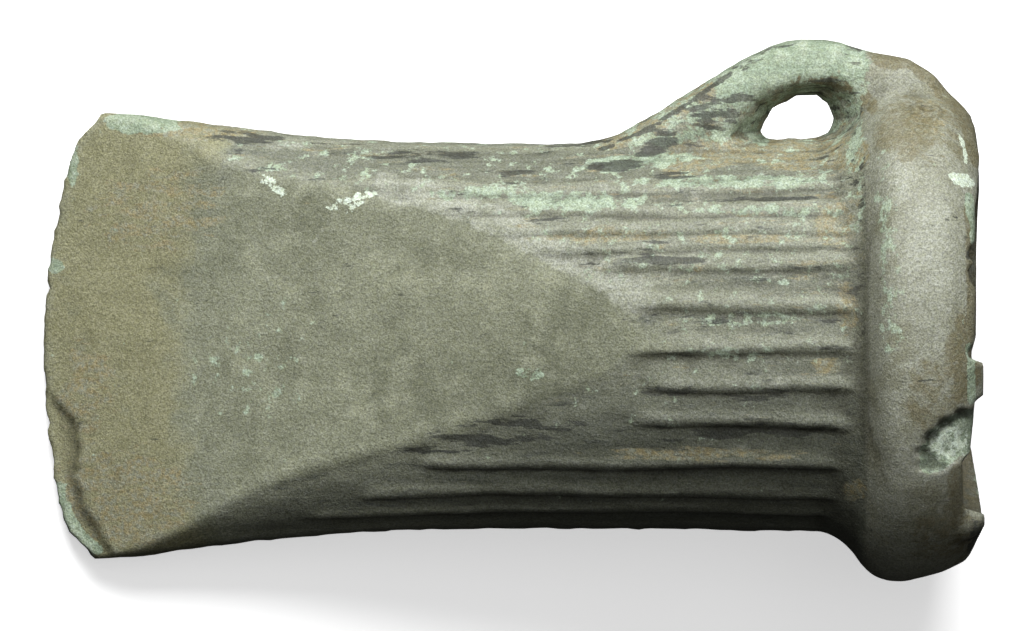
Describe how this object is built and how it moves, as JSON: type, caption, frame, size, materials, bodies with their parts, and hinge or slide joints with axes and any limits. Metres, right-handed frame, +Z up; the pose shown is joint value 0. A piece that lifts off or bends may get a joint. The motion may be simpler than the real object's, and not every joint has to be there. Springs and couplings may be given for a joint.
{
  "type": "bronze age socketed axe head",
  "caption": "Socketed bronze axe head with a side loop, a heavy mouth collar, raised ribs and a flat flared blade, lying on its back face.",
  "frame": {"origin": "bottom centre of the lying axe's bounding box", "axes": "+X from the cutting edge towards the mouth, along the surface it lies on; +Y towards the side loop; +Z up"},
  "size_m": [0.0908, 0.0518, 0.0391],
  "materials": {
    "bronze": "patinated cast bronze, olive brown with green corrosion, dull"
  },
  "bodies": {
    "root": {"axe_head": "bronze"}
  },
  "joints": []
}
